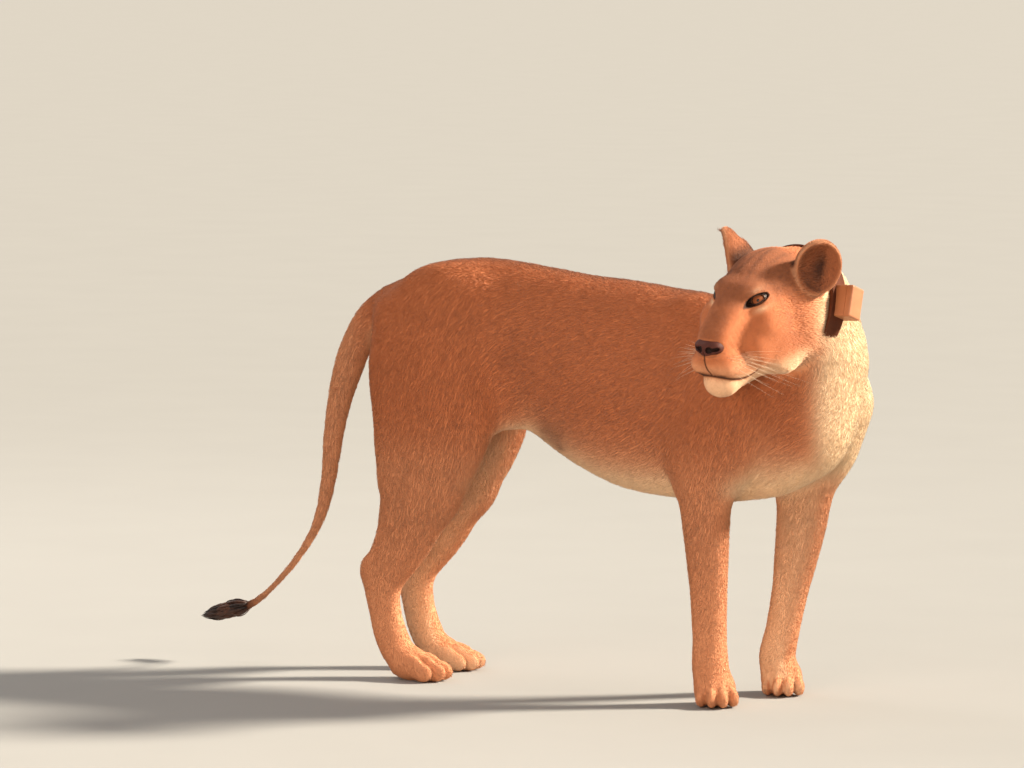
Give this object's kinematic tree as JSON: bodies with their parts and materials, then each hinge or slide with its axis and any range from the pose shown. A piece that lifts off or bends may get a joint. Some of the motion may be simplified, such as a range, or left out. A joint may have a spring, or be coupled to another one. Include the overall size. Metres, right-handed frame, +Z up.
{
  "type": "lioness",
  "caption": "Life-size standing lioness as a still museum model, head turned back over the right shoulder, wearing a plain tracking collar, tail hanging and curving out behind.",
  "frame": {"origin": "on the floor under the middle of the whole animal's box", "axes": "+X the way her hips point and +Z up, so +Y is her left side"},
  "size_m": [1.6188, 0.6024, 0.9912],
  "materials": {
    "fur": "short tawny fur, with fine hair tufts",
    "paw_fur": "short pale fur",
    "face_fur": "very short greyish brown fur, cream at the chin and cheeks",
    "ear_fur": "short fur, dark on the back of the ear",
    "tuft_fur": "long near-black hair",
    "nose_leather": "damp fine-pebbled skin",
    "eye": "clear wet amber eye",
    "strap": "worn dark brown belting",
    "housing": "moulded brown resin"
  },
  "bodies": {
    "root": {"torso": "fur", "foreleg_left": "fur", "foreleg_right": "fur", "hindleg_left": "fur", "hindleg_right": "fur", "tail_base": "fur", "tail_middle": "fur", "tail_end": "fur", "neck": "fur", "forepaw_left": "paw_fur", "forepaw_right": "paw_fur", "hindpaw_left": "paw_fur", "hindpaw_right": "paw_fur", "head": "face_fur", "ear_left": "ear_fur", "ear_right": "ear_fur", "tail_tuft": "tuft_fur", "nose": "nose_leather", "eye_left": "eye", "eye_right": "eye", "collar_strap": "strap", "collar_housing": "housing"}
  },
  "joints": []
}
